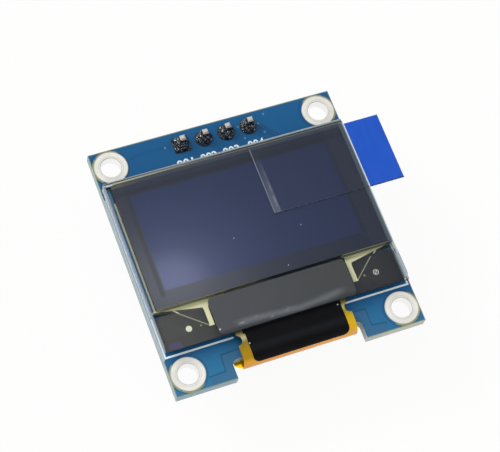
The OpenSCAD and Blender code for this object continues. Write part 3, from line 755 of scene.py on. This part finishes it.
def right_margin(glass):
    """Lines in the clear margin between the dark display and the right edge."""
    return glass.ramp(glass.x - screen_high.x, 0.8, (0.02, colour(98, 112, 116)),
                      (0.2, colour(90, 106, 116)), (0.4, colour(78, 98, 114)),
                      (0.5, colour(116, 134, 146)), (0.6, colour(160, 172, 182)))


# %% Glass
def glass_finish(name, low, high, front_sheet):
    glass = Finish(name, IOR=1.5, Roughness=0.05)
    only_front = 1 if front_sheet else 0
    sides, top, bottom = past_edges(glass, low, high)
    wall = glass.rise(glass.wall, 0.5, 0.8)
    arris = glass.rise(sides | top, -0.1, -0.05)
    lip = glass.rise(top, -0.54, -0.5) * (0.78 * only_front)
    margin = glass.rise(glass.x, screen_high.x - 0.05, screen_high.x + 0.02) * (0.75 * only_front)
    margin = margin * glass.rise(glass.y, screen_low.y - 0.1, screen_low.y)
    chip = glass.patch(high.x - 0.28, high.x - 0.1, -6.1, -5.3, 0.08) * (0.7 * only_front)
    face = glass.mix(arris, colour(84, 92, 92), colour(170, 182, 188))
    face = glass.mix(margin, face, right_margin(glass))
    face = glass.mix(lip, face, top_lip(glass, 0 - top))
    face = glass.mix(chip, face, colour(216, 220, 204))
    left = 1 - glass.rise(glass.x, low.x + 0.1, low.x + 0.2)
    up = (glass.z - low.z) / (high.z - low.z)
    flank, flank_alpha = left_flank(glass, up, front_sheet)
    shade = glass.mix(wall, face, glass.mix(left, colour(110, 124, 130), flank))
    # Painted shade: the lower front wall is dark where the ledge stands over the board.
    front_wall = glass.rise(bottom, -0.05, -0.01)
    glass.set("Base Color", glass.mix(front_wall, shade, colour(40, 46, 54)))
    wall_alpha = wall * (0.5 + (flank_alpha - 0.5) * left)
    glass.set("Alpha", 0.03 + (0.4 * arris | lip | margin | chip | wall_alpha))
    return glass


dress(glass_finish("front_glass", glass_low, glass_high, front_sheet=True), "substrate_glass")
dress(glass_finish("rear_glass", *corners("cap_glass"), front_sheet=False), "cap_glass")

# %% [markdown]
# ## Seal
# A bead of adhesive joins the two sheets. It is hidden under the polariser, except for a thin
# cream line below the polariser's lower edge, a grey green one beside its right edge, and its
# left side, where it takes on the blue of the board.
# %% Seal
seal = Finish("edge_seal", IOR=1.5)
shade = seal.mix(seal.noise(0.4), colour(34, 38, 42), colour(52, 58, 62))
left = 1 - seal.rise(seal.x, screen_low.x - 0.1, screen_low.x)
blue = seal.mix(seal.rise(seal.y, 5, 8), colour(44, 98, 150), colour(76, 128, 168))
shade = seal.mix(left, shade, blue)
right = seal.band(seal.x, screen_high.x - 0.02, screen_high.x + 0.14, 0.03)
shade = seal.mix(right * 0.8, shade, colour(122, 140, 136))
below = 1 - seal.rise(seal.y, screen_low.y + 0.13, screen_low.y + 0.2)
wide = (1 - seal.rise(seal.x, -6.6, -6.4)) | seal.rise(seal.x, 7.3, 7.5)
thin = 1 - seal.rise(seal.x, -2.0, 0.5)
cream = seal.mix(seal.rise(seal.x, 0, 6), colour(186, 186, 138), colour(150, 152, 122))
seal.set("Base Color", seal.mix(below * (wide | thin * 0.5), shade, cream))
seal.set("Roughness", 0.4 + 0.2 * seal.noise(0.2))
dress(seal, "edge_seal")

# %% [markdown]
# ## The dark display
# A switched off display is a dark mirror. The circular polariser swallows nearly all light,
# the lit area behind it is a deep blue violet, and the wiring at its borders is a neutral
# near-black with fine lines. Near its lower left corner the colours are painted lighter, a
# painted reflection of the window high on the left, so they are laid out as soft ramps over the
# distance from there. Above the wedges its front wall has the cream of the seal.
# %% Colours of the display
matrix_low, matrix_high = corners("pixel_matrix")
REFLECTION_CENTRE = (-10.2, -2.8)
REFLECTION_REACH = 22
PIXEL_PITCH = 0.17
WIRE_PITCH = 0.24


def violet_ramp(screen, from_reflection):
    return screen.ramp(from_reflection, REFLECTION_REACH, (0, colour(110, 116, 146)), (2.2, colour(103, 109, 139)),
                       (4.4, colour(74, 81, 111)), (8, colour(61, 68, 98)),
                       (12.5, colour(52, 60, 88)), (22, colour(42, 50, 75)), soft=True)


def border_ramp(screen, from_reflection):
    return screen.ramp(from_reflection, REFLECTION_REACH, (0, colour(99, 101, 111)), (2.5, colour(93, 95, 104)),
                       (5, colour(80, 83, 93)), (8.6, colour(62, 66, 78)),
                       (13, colour(52, 57, 70)), (22, colour(41, 47, 61)), soft=True)


def border_finish(screen, shade):
    """Adds the wiring at the sides, an olive strip at the left and darker rows at the top."""
    wires = screen.band(screen.x.repeat(WIRE_PITCH), 0.05, 0.09, 0.02)
    at_sides = screen.rise(abs(screen.x + 0.45), 11.15, 11.3)
    shade = screen.mix(wires * at_sides * 0.2, shade, colour(92, 84, 92))
    olive = screen.band(screen.x, matrix_low.x - 0.15, matrix_low.x + 0.3, 0.1)
    olive = olive * screen.band(screen.y, -4, 7.6, 0.2)
    shade = screen.mix(olive * 0.35, shade, colour(50, 54, 50))
    rows = screen.band(screen.y, matrix_high.y - 0.85, matrix_high.y - 0.3, 0.12)
    shade = screen.mix(rows * 0.3, shade, colour(34, 38, 46))
    greyed = screen.rise(screen.y, screen_high.y - 0.45, screen_high.y - 0.3)
    grey = screen.mix(screen.rise(screen.x, -12.8, -9), colour(112, 106, 84), colour(74, 84, 90))
    return screen.mix(greyed * 0.5, shade, grey)


def wall_shade(screen):
    """Dark walls. The front one has a cream bead over both wedges, which fades between them."""
    wide = (1 - screen.rise(screen.x, -5.4, -5.2)) | screen.rise(screen.x, 7.3, 7.5)
    thin = 0.5 * (1 - screen.rise(screen.x, -3.0, -1.0))
    in_front = 1 - screen.rise(screen.y, screen_low.y, screen_low.y + 0.1)
    return screen.mix((wide | thin) * in_front, colour(30, 32, 36), colour(178, 178, 128))


print("lit area:", [round(v, 2) for v in matrix_high - matrix_low], "mm")

# %% Polariser
screen = Finish("dark_display", IOR=1.5, Specular_IOR_Level=0.3)
# Painted reflection: the display is lighter near its lower left and darkens with distance from
# there.
from_reflection = ((screen.x - REFLECTION_CENTRE[0]) ** 2 + ((screen.y - REFLECTION_CENTRE[1]) * 1.15) ** 2) ** 0.5
active = screen.patch(matrix_low.x + 0.45, matrix_high.x - 1.4,
                      matrix_low.y + 0.8, matrix_high.y - 1.05, 0.06)
pixel = (screen.x.repeat(PIXEL_PITCH) | screen.y.repeat(PIXEL_PITCH)) * 4
violet = screen.mix(pixel * 0.1, violet_ramp(screen, from_reflection), colour(30, 34, 60))
face = screen.mix(active, border_finish(screen, border_ramp(screen, from_reflection)), violet)
side = screen.rise(screen.wall, 0.5, 0.8)
screen.set("Base Color", screen.mix(side, face, wall_shade(screen)))
screen.set("Roughness", 0.08 + 0.1 * screen.noise(3.5, 3, 0.8))
dress(screen, "polariser")

cells = Finish("pixel_layer", IOR=1.6)
between = (cells.x.repeat(PIXEL_PITCH) | cells.y.repeat(PIXEL_PITCH)) * 8
cells.set("Base Color", cells.mix(between, colour(60, 62, 84), colour(24, 26, 40)))
cells.set("Roughness", 0.3 + 0.2 * cells.noise(0.5))
dress(cells, "pixel_matrix")

# %% [markdown]
# ## Printed leads
# Cream coloured metal wedges on the inside of the glass carry the current to the edge of the
# display. They are matt and faintly ribbed. Each wedge is an open triangle: a sloping arm, a
# leg and a thin strut. The tape behind shows through below the arm, so that strip is painted in
# the tape's colour. The arm's lower border and the strut are greyer, and so is the line up the
# left side. The round mark on the right is a ring with a bar across it.
# %% Places on the leads
lead_top = corners("lead_left")[1].y
dot_high = corners("alignment_dots")[1]
dot_x, dot_y = dot_high.x - 0.32, dot_high.y - 0.32
ARM_SLOPE, ARM_END = 0.163, 12.75
INNER_SLOPE, INNER_Y = 0.186, -7.5
STRUT = ((8.15, -8.08), (11.2, -5.45))
DOT_REACH = 0.36


def wedge_parts(lead, tips):
    """Masks for the greyer parts of the wedges, and for the strip that shows the tape."""
    beside_leg = lead.band(tips, 8.2, 14, 0.02)
    arm_y = lead.y + ARM_SLOPE * (ARM_END - tips)
    greyer = (1 - lead.rise(arm_y, lead_top - 0.4, lead_top - 0.3)) * beside_leg
    struts = lead.stroke(STRUT, 0.12) | lead.stroke([(-x, y) for x, y in STRUT], 0.12)
    inside = 1 - lead.rise(lead.y - INNER_SLOPE * tips, INNER_Y - 0.05, INNER_Y)
    return greyer, inside * (1 - greyer) * (1 - struts) * beside_leg


def alignment_marks(lead, tips, shade):
    """The round mark on each side: plain on the left, a ring and a bar on the right."""
    marks = 1 - lead.rise(abs(lead.y - dot_y), DOT_REACH, DOT_REACH + 0.04)
    marks = marks * lead.rise(tips, dot_x - DOT_REACH - 0.04, dot_x - DOT_REACH)
    plain = lead.mix(lead.rise(lead.x, -1, 1), colour(228, 230, 204), colour(176, 178, 172))
    shade = lead.mix(marks, shade, plain)
    shade = lead.mix(lead.disc(dot_x, dot_y, 0.2) * 0.85, shade, colour(62, 62, 64))
    bar = lead.stroke([(dot_x - 0.15, dot_y - 0.15), (dot_x + 0.15, dot_y + 0.15)], 0.1)
    return lead.mix(bar * 0.9, shade, colour(186, 186, 182))


print("alignment mark at", round(dot_x, 2), "and", round(dot_y, 2), "mm")

# %% Leads
lead = Finish("cream_lead", IOR=1.5, Specular_IOR_Level=0.2)
ribs = lead.noise(0.3, 2, 0, (6, 1, 1))
tips = abs(lead.x)
greyer, through = wedge_parts(lead, tips)
shade = lead.mix(lead.noise(1.2), colour(240, 238, 186), colour(250, 248, 204))
shade = lead.mix(lead.rise(lead.x, 0, 8) * 0.6, shade, colour(206, 206, 166))
shade = lead.mix(greyer * 0.85, shade, colour(124, 126, 110))
tape_behind = lead.mix(lead.rise(lead.x, -1, 1), colour(80, 80, 76), colour(48, 50, 54))
shade = lead.mix(through, shade, tape_behind)
side_line = lead.rise(lead.y, lead_top + 0.2, lead_top + 0.3)
shade = lead.mix(side_line * 0.7, shade, colour(176, 180, 152))
lead.set("Base Color", alignment_marks(lead, tips, shade))
lead.set("Roughness", 0.4 + 0.2 * ribs)
lead.relief(ribs, 0.01)
dress(lead, "lead_left", "lead_right", "side_lead", "alignment_dots")

# %% [markdown]
# ## Tapes
# Behind the bare glass ledge lies a matt black tape with rounded upper corners, past which the
# blue of the board comes through, and with a small violet patch at its left end. In front of
# its middle lies a dark grey satin one that rides over the joint with the flexible circuit. It
# is creased along its lower edge, where the creases catch the light as one long hazy streak.
# %% Black tape
tape = Finish("black_tape", IOR=1.5, Specular_IOR_Level=0.3)
tape_low, tape_high = corners("rear_shield_tape")
tape_middle = (tape_low.x + tape_high.x) / 2
CORNER_X, CORNER_DROP = 12.1, 1.2
fine = tape.noise(0.25, 3)
shade = tape.ramp(tape.x + 14, 28, (0, colour(80, 80, 77)), (7, colour(62, 62, 62)),
                  (16, colour(48, 49, 52)), (28, colour(42, 42, 49)))
past_x = (CORNER_X - abs(tape.x - tape_middle)) & 0
past_y = (tape_high.y - CORNER_DROP - tape.y) & 0
from_corner = (past_x ** 2 + past_y ** 2) ** 0.5
shade = tape.mix(tape.rise(from_corner, 1.05, 1.2), shade, colour(48, 70, 84))
violet = tape.patch(-12.9, -11.5, tape_low.y + 0.12, tape_low.y + 0.75, 0.08)
tape.set("Base Color", tape.mix(violet * 0.55, shade, colour(88, 80, 132)))
tape.set("Roughness", 0.35 + 0.2 * fine)
tape.relief(fine, 0.008)
dress(tape, "rear_shield_tape")

# %% Grey tape and foam
grey = Finish("grey_tape", IOR=1.5, Specular_IOR_Level=0.35)
up = grey.y - corners("front_shield_tape")[0].y
crease = grey.noise(0.8, 4, 1.2, (0.5, 1.2, 1))
wavy = up + 0.5 * grey.noise(2.5, 1) - 0.3 * (grey.x * 0.18) ** 2
streak = grey.band(wavy, 0.5, 0.95, 0.35) * grey.band(grey.x, -5.4, 6, 0.8)
# Painted glints: bright spots on the creases within the streak, on its left part.
painted_glints = grey.rise(crease, 0.52, 0.66) * (1 - grey.rise(grey.x, -5, 3))
shade = grey.mix(grey.rise(grey.x, -8, 9), colour(72, 74, 78), colour(62, 64, 65))
# Painted shade darkens the tape towards its lower edge.
shade = grey.mix((1 - grey.rise(up, 0.1, 0.6)) * 0.6, shade, colour(36, 38, 42))
shade = grey.mix(streak * (0.22 + 0.6 * painted_glints), shade, colour(170, 174, 180))
shade = grey.mix(grey.disc(-7.5, -8.96, 0.09, 0.04), shade, colour(206, 206, 206))
grey.set("Base Color", shade)
grey.set("Roughness", 0.3 + 0.25 * crease)
grey.relief(crease * (1 - grey.rise(up, 0.9, 1.6)) + grey.noise(2.5, 2) * 0.5, 0.08, 0.8)
dress(grey, "front_shield_tape")

foam = Finish("foam_tape", IOR=1.45)
foam_cells = foam.noise(0.18, 3)
foam.set("Base Color", foam.mix(foam_cells, colour(26, 27, 30), colour(52, 54, 58)))
foam.set("Roughness", 0.7 + 0.2 * foam_cells)
foam.relief(foam_cells, 0.04)
dress(foam, "foam_tape")

# %% [markdown]
# ## Clear film, clear tape and the blue tab
# A new display still wears its protective film, with a strip of clear tape whose far end holds
# a blue pull tab. The film shows only as thin bright edges, specks of dust, a glint at its
# upper left corner, and a soft gleam where it lifts at its lower right. The strip's cut end is
# a pale double line that grows hazy downwards, and its long lower edge is dark and broken.
# %% Clear film
film = Finish("clear_film", IOR=1.45, Roughness=0.12)
SPECKS = ((1.59, -4.59), (-2.73, -0.12), (4.47, -0.75))
sides, top = past_edges(film, *corners("protective_film"))[:2]
edge = film.rise(sides | top, -0.07, -0.03)
dust = film.specks(2.4, 0.09, 0.22)
for speck in SPECKS:
    dust = dust | film.disc(*speck, 0.07, 0.04)
lift = film.rise(film.x, 12.4, 13.0) * film.band(film.y, -9.7, -6.6, 0.5)
gleam = film.ramp(film.x - 12.3, 1, (0.1, colour(60, 66, 76)), (0.3, colour(92, 102, 114)),
                  (0.6, colour(168, 180, 188)), (0.78, colour(178, 190, 200)),
                  (0.84, colour(90, 104, 116)))
glint = film.stroke([(-13.3, 9.15), (-12.75, 9.15)], 0.16, 0.04)
pale = dust | edge | lift | glint
shade = film.mix(pale, colour(120, 128, 132), colour(200, 210, 220))
film.set("Base Color", film.mix(lift, shade, gleam))
film.set("Alpha", 0.01 + (0.24 * edge | 0.7 * dust | 0.75 * lift | 0.8 * glint))
dress(film, "protective_film")

# %% Clear tape and tab
strip = Finish("clear_tape", IOR=1.45, Roughness=0.15, Specular_IOR_Level=0.15)
strip_low, strip_high = corners("clear_tape")
across = strip.x - strip_low.x
down = 1 - strip.rise(strip.y, strip_low.y, strip_high.y)
grainy = strip.rise(strip.noise(0.6, 3), 0.35, 0.6)
lines = strip.band(across, 0.02, 0.11, 0.03) * 0.32
lines = lines | strip.band(across, 0.45, 0.72, 0.1) * grainy * 0.3 * down
hazy = strip.band(across, 0.1, 0.8, 0.1) * down * 0.12
broken = strip.rise(strip.noise(0.4, 2), 0.42, 0.55)
lower = strip.band(strip.y - strip_low.y, 0.0, 0.1, 0.03) * broken
low_edge = 1 - strip.rise(strip.y, strip_low.y + 0.05, strip_low.y + 0.1)
strip.set("Base Color", strip.mix(lower | low_edge, colour(178, 182, 194), colour(22, 26, 44)))
strip.set("Alpha", 0.004 + (lines | hazy | lower * 0.55))
dress(strip, "clear_tape")

tab = Finish("blue_tab", IOR=1.45, Specular_IOR_Level=0.3)
streaky = tab.noise(1.2, 3, 0.4, (2.5, 0.5, 1))
shade = tab.mix(streaky, colour(24, 78, 186), colour(34, 90, 198))
shade = tab.mix(tab.specks(1.6, 0.1, 0.3) * 0.6, shade, colour(110, 150, 222))
tab.set("Base Color", shade)
tab.set("Roughness", 0.3 + 0.2 * streaky)
dress(tab, "pull_tab")

# %% [markdown]
# ## Flexible circuit
# The flexible circuit is copper between amber polyimide films. It leaves the glass, folds
# through the board's notch and is soldered to the back. A black cover layer hides the copper
# round the fold, and the amber film shows at both sides and along the fold's lowest line. Its
# ears beside the fold have light behind them and glow yellow, which a little emission gives.
# The strip that shows between the cover and the grey tape is painted black, as painted shade
# under the tape's edge.
# %% Flexible circuit
flex = Finish("amber_polyimide", IOR=1.6, Specular_IOR_Level=0.12, Coat_Weight=0.04,
              Coat_Roughness=0.15, Emission_Strength=0.7)
track = flex.band(flex.x.repeat(0.42), 0.06, 0.13, 0.02)
mottled = flex.noise(0.8, 3)
from_fold = flex.y - corners("flex_circuit")[0].y
# Up the fold the ramps hold painted light: darker amber and olive shade above the fold's  golden
# lower part, and a pale painted highlight near the neck.
left = flex.ramp(from_fold, 4, (0.02, colour(236, 156, 92)), (0.14, colour(232, 162, 66)),
                 (0.3, colour(224, 164, 34)), (0.6, colour(166, 124, 10)),
                 (1.6, colour(146, 114, 10)), (2.3, colour(116, 104, 36)),
                 (2.75, colour(190, 180, 140)), (3.1, colour(160, 150, 108)),
                 (3.4, colour(96, 90, 50)))
right = flex.ramp(from_fold, 4, (0.02, colour(240, 166, 96)), (0.2, colour(236, 176, 62)),
                  (0.7, colour(212, 168, 18)), (1.6, colour(194, 158, 12)),
                  (2.4, colour(140, 122, 40)), (2.8, colour(176, 168, 110)),
                  (3.3, colour(90, 84, 40)))
shade = flex.mix(flex.rise(flex.x, -3, 3), left, right)
shade = flex.mix(mottled * 0.15, shade, colour(250, 206, 60))
# Painted shade: black where the strip lies under the grey tape's edge.
shaded = flex.rise(flex.y, -10.0, -9.9) * flex.band(flex.x, -5.3, 5.5, 0.04)
shade = flex.mix(shaded, shade, colour(10, 10, 12))
near_fold = 1 - flex.rise(from_fold, 0.7, 1.0)
ear = flex.rise(abs(flex.x - 0.05), 6.0, 6.15) * (1 - flex.rise(flex.z, 0.3, 0.8)) * near_fold
shade = flex.mix(ear, shade, colour(255, 214, 10))
behind = 1 - flex.rise(flex.z, -0.2, 0.1)
copper = flex.mix(track, colour(204, 142, 30), colour(214, 128, 62))
flex.set("Base Color", flex.mix(behind * (1 - ear) * 0.8, shade, copper))
flex.set("Emission Color", flex.mix(ear, colour(0, 0, 0), colour(250, 200, 0)))
flex.set("Roughness", 0.3 + 0.15 * mottled)
flex.relief(track * behind + mottled * 0.2, 0.02, 0.5)
dress(flex, "flex_circuit")

# %% Black cover layer
cover = Finish("black_cover", IOR=1.5, Specular_IOR_Level=0.14)
satin = cover.noise(0.5, 3, 0, (0.4, 1, 1))
# Painted highlight: a lighter band along the middle of the fold.
middle = cover.band(cover.y, -11.9, -11.3, 0.4) * 0.5
shade = cover.mix(satin, colour(5, 5, 8), colour(12, 12, 15))
shade = cover.mix(middle, shade, colour(28, 32, 38))
for speck in ((-5.0, -11.06), (5.1, -9.9)):
    shade = cover.mix(cover.disc(*speck, 0.07, 0.03) * 0.8, shade, colour(220, 220, 220))
cover.set("Base Color", shade)
cover.set("Roughness", 0.26 + 0.12 * satin)
cover.relief(satin, 0.01)
dress(cover, "flex_cover")

# %% [markdown]
# ## The back
# The back carries six small capacitors, six resistors, a regulator, a diode, and bright reflowed
# solder. Small ceramic parts have plated ends, which one mask paints on all of them.
# %% Parts on the back
bright = Finish("bright_solder", Metallic=1.0, IOR=1.6)
shade = bright.mix(bright.noise(0.3, 3), colour(170, 170, 168), colour(224, 224, 220))
bright.set("Base Color", shade)
bright.set("Roughness", 0.2 + 0.15 * bright.noise(0.25))
bright.relief(bright.noise(0.2), 0.02)
dress(bright, "chip_solder", "flex_solder", "regulator_legs")


def chip_finish(name, first, second, row):
    chip = Finish(name, IOR=1.6)
    low, high = corners(row)
    middle = (low.y + high.y) / 2
    end = chip.rise(abs(chip.y - middle), 0.49, 0.52)
    grainy = chip.noise(0.15, 3)
    chip.set("Base Color", chip.mix(end, chip.mix(grainy, first, second), colour(206, 204, 198)))
    chip.set("Metallic", end * 0.8)
    chip.set("Roughness", 0.45 - 0.15 * end + 0.1 * grainy)
    chip.relief(grainy, 0.015)
    return chip


dress(chip_finish("ceramic", colour(150, 116, 78), colour(178, 144, 104), "capacitor_1"),
      *[f"capacitor_{i}" for i in range(1, 7)])
dress(chip_finish("resistor", colour(24, 24, 26), colour(44, 44, 46), "resistor_1"),
      *[f"resistor_{i}" for i in range(1, 7)])

moulding = Finish("moulded_epoxy", IOR=1.5)
grain = moulding.noise(0.1, 3)
moulding.set("Base Color", moulding.mix(grain, colour(26, 26, 28), colour(46, 46, 48)))
moulding.set("Roughness", 0.5 + 0.2 * grain)
moulding.relief(grain, 0.015)
dress(moulding, "regulator_body", "diode")

silicon = Finish("silicon_chip", Metallic=0.6, IOR=1.8)
silicon.set("Base Color", silicon.mix(silicon.noise(0.4), colour(70, 72, 80), colour(96, 98, 108)))
silicon.set("Roughness", 0.15 + 0.1 * silicon.noise(0.3))
dress(silicon, "driver_chip")

# %% [markdown]
# ## Sizes and finish
# The last cell prints the box of the solids.
# %% Sizes
print("CAD box:", [round(v / MM, 2) for v in cad_box[1] - cad_box[0]], "mm")
